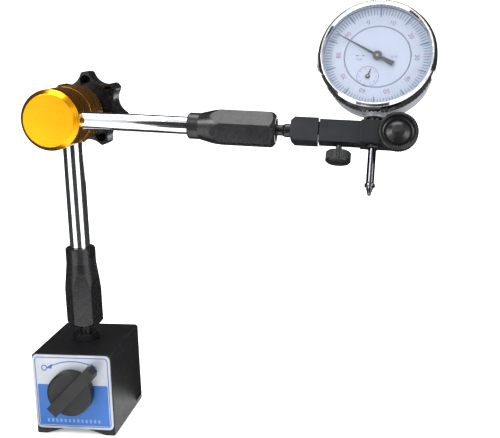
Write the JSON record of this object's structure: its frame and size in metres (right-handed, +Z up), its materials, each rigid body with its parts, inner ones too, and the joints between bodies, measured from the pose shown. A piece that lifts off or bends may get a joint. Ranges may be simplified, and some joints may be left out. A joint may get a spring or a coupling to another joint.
{
  "type": "dial indicator on magnetic base",
  "caption": "Dial indicator held by a two-arm stand with ball joints and one central hand-knob lock, on a switchable magnetic base with a V-groove.",
  "frame": {"origin": "middle of the base underside, in the plane of its two feet", "axes": "+X along the base width toward the dial, +Y away from the switch side, +Z up"},
  "size_m": [0.2408, 0.0845, 0.2547],
  "materials": {
    "steel_painted": "black enamel, semi-gloss",
    "brass": "plain",
    "label": "satin, printed blue",
    "magnet": "sintered magnet",
    "bright_steel": "ground",
    "switch_plastic": "black moulded",
    "blackened_steel": "black oxide",
    "chrome_tube": "polished",
    "gold_anodised": "anodised gold orange",
    "ring": "dark red",
    "knob_plastic": "black moulded",
    "block_anodised": "black anodised",
    "screw_black": "black knurled",
    "spring": "spring steel",
    "case": "satin grey",
    "chrome_trim": "polished",
    "stem_steel": "ground and hardened",
    "crystal": "clear",
    "dial_print": "white enamel",
    "pointer_black": "black"
  },
  "bodies": {
    "base": {"pole_left": "steel_painted", "pole_right": "steel_painted", "top_spacer": "steel_painted", "bottom_spacer": "brass", "front_label": "label", "rear_cover": "steel_painted"},
    "switch": {"magnet_rotor": "magnet", "switch_shaft": "bright_steel", "switch_knob": "switch_plastic"},
    "lower_stud": {"lower_ball_stud": "blackened_steel"},
    "lower_rod": {"lower_ball_cup": "blackened_steel", "lower_push_rod": "bright_steel", "lower_rod_ball": "bright_steel"},
    "lower_arm": {"lower_grip": "blackened_steel", "lower_tube": "chrome_tube", "rear_lock_body": "gold_anodised", "wear_ring": "ring"},
    "lock_wedge": {"rear_wedge": "bright_steel", "thrust_washer": "bright_steel"},
    "lock_knob": {"knob_insert": "brass", "star_knob": "knob_plastic"},
    "upper_arm": {"front_lock_body": "gold_anodised", "draw_bolt": "bright_steel", "upper_tube": "chrome_tube", "upper_grip": "blackened_steel"},
    "upper_rod": {"upper_ball_cup": "blackened_steel", "upper_push_rod": "bright_steel", "upper_rod_ball": "bright_steel"},
    "upper_stud": {"upper_ball_stud": "blackened_steel"},
    "swivel": {"swivel_block": "block_anodised", "hinge_pin": "blackened_steel"},
    "clamp": {"clamp_body": "block_anodised", "clamp_washer": "bright_steel", "fine_adjust_spring": "spring"},
    "fine_pad": {"fine_screw_pad": "bright_steel"},
    "fine_screw": {"fine_adjust_screw": "screw_black"},
    "clamp_knob": {"clamp_knob": "screw_black"},
    "dial": {"dial_case": "case", "stem": "blackened_steel", "spindle_cap": "chrome_trim", "back_cover": "case", "bezel_clamp_screw": "bright_steel", "centre_plate": "dial_print", "movement_plate": "brass", "bridge_plate": "brass", "hairspring": "spring", "return_spring": "spring"},
    "bezel": {"bezel": "chrome_trim", "crystal": "crystal", "scale_ring": "dial_print"},
    "spindle": {"spindle": "stem_steel", "spindle_rack": "bright_steel", "contact_point": "stem_steel"},
    "counter": {"rack_arbor": "brass", "counter_pointer": "pointer_black"},
    "centre": {"centre_arbor": "brass", "pointer": "pointer_black"},
    "spring_wheel": {"hairspring_wheel": "brass"}
  },
  "joints": [
    {"name": "magnet_switch", "type": "hinge", "parent": "base", "child": "switch", "pos_m": [0, -0.035, 0.029], "axis": [0, -1, 0], "range_deg": [0, 90]},
    {"name": "lower_stud_swivel", "type": "hinge", "parent": "base", "child": "lower_stud", "pos_m": [0, 0, 0.067], "axis": [0, 0, 1], "continuous": true},
    {"name": "lower_arm_tilt", "type": "hinge", "parent": "lower_stud", "child": "lower_rod", "pos_m": [0, 0, 0.067], "axis": [0, 1, 0], "range_deg": [-16, 16]},
    {"name": "lower_arm_twist", "type": "hinge", "parent": "lower_rod", "child": "lower_arm", "pos_m": [0, 0, 0.067], "axis": [0, 0, 1], "continuous": true},
    {"name": "lock_release", "type": "slide", "parent": "lower_arm", "child": "lock_wedge", "axis": [0, 1, 0], "range_m": [0, 0.000625]},
    {"name": "lock_knob_turn", "type": "hinge", "parent": "lock_wedge", "child": "lock_knob", "pos_m": [0, 0.035, 0.19375], "axis": [0, 1, 0], "range_deg": [0, 181]},
    {"name": "elbow", "type": "hinge", "parent": "lower_arm", "child": "upper_arm", "pos_m": [0, 0, 0.19375], "axis": [0, 1, 0], "range_deg": [-120, 40]},
    {"name": "upper_seat_twist", "type": "hinge", "parent": "upper_arm", "child": "upper_rod", "pos_m": [0.12306, -0.0244, 0.18601], "axis": [0.998, 0, -0.0628], "continuous": true},
    {"name": "upper_stud_tilt", "type": "hinge", "parent": "upper_rod", "child": "upper_stud", "pos_m": [0.12306, -0.0244, 0.18601], "axis": [0, 1, 0], "range_deg": [-28, 28]},
    {"name": "head_swivel", "type": "hinge", "parent": "upper_stud", "child": "swivel", "pos_m": [0.12306, -0.0244, 0.18601], "axis": [0.998, 0, -0.0628], "continuous": true},
    {"name": "fine_tilt", "type": "hinge", "parent": "swivel", "child": "clamp", "pos_m": [0.15576, -0.02304, 0.18663], "axis": [-0.0285, 0.891, -0.4531], "range_deg": [-2.8, 2.8], "deforming": ["fine_adjust_spring"]},
    {"name": "fine_screw_feed", "type": "slide", "parent": "clamp", "child": "fine_pad", "axis": [0.0559, 0.454, 0.8892], "range_m": [-0.00026, 0.00026]},
    {"name": "fine_screw_turn", "type": "hinge", "parent": "fine_pad", "child": "fine_screw", "pos_m": [0.16261, -0.02985, 0.17281], "axis": [0.0559, 0.454, 0.8892], "range_deg": [-252, 252]},
    {"name": "clamp_knob_turn", "type": "hinge", "parent": "clamp", "child": "clamp_knob", "pos_m": [0.19471, -0.03404, 0.18462], "axis": [0.0285, -0.891, 0.4531], "range_deg": [0, 180]},
    {"name": "indicator_swivel", "type": "hinge", "parent": "clamp", "child": "dial", "pos_m": [0.18134, -0.0244, 0.18234], "axis": [0.0559, 0.454, 0.8892], "continuous": true},
    {"name": "bezel_turn", "type": "hinge", "parent": "dial", "child": "bezel", "pos_m": [0.18339, -0.01222, 0.22378], "axis": [-0.0412, -0.8888, 0.4564], "continuous": true},
    {"name": "spindle_travel", "type": "slide", "parent": "dial", "child": "spindle", "axis": [0.0559, 0.454, 0.8892], "range_m": [0, 0.01], "stiffness_N_per_m": 60, "springref_m": -0.012, "deforming": ["return_spring"]},
    {"name": "counter_turn", "type": "hinge", "parent": "dial", "child": "counter", "pos_m": [0.17846, -0.01022, 0.20969], "axis": [-0.0412, -0.8888, 0.4564], "range_deg": [-5, 365]},
    {"name": "pointer_turn", "type": "hinge", "parent": "dial", "child": "centre", "pos_m": [0.18339, -0.01222, 0.22378], "axis": [-0.0412, -0.8888, 0.4564], "range_deg": [-3650, 50]},
    {"name": "spring_wheel_turn", "type": "hinge", "parent": "dial", "child": "spring_wheel", "pos_m": [0.19505, -0.00286, 0.22553], "axis": [-0.0412, -0.8888, 0.4564], "range_deg": [-5, 365]}
  ],
  "couplings": [
    {"joint": "lock_knob_turn", "follows": "lock_release", "rad_per_m": 5026.5},
    {"joint": "fine_screw_turn", "follows": "fine_screw_feed", "rad_per_m": 12566},
    {"joint": "fine_tilt", "follows": "fine_screw_feed", "rad_per_m": 129.87},
    {"joint": "counter_turn", "follows": "spindle_travel", "rad_per_m": 628.32},
    {"joint": "pointer_turn", "follows": "spindle_travel", "rad_per_m": -6283.2},
    {"joint": "spring_wheel_turn", "follows": "spindle_travel", "rad_per_m": 628.32}
  ]
}
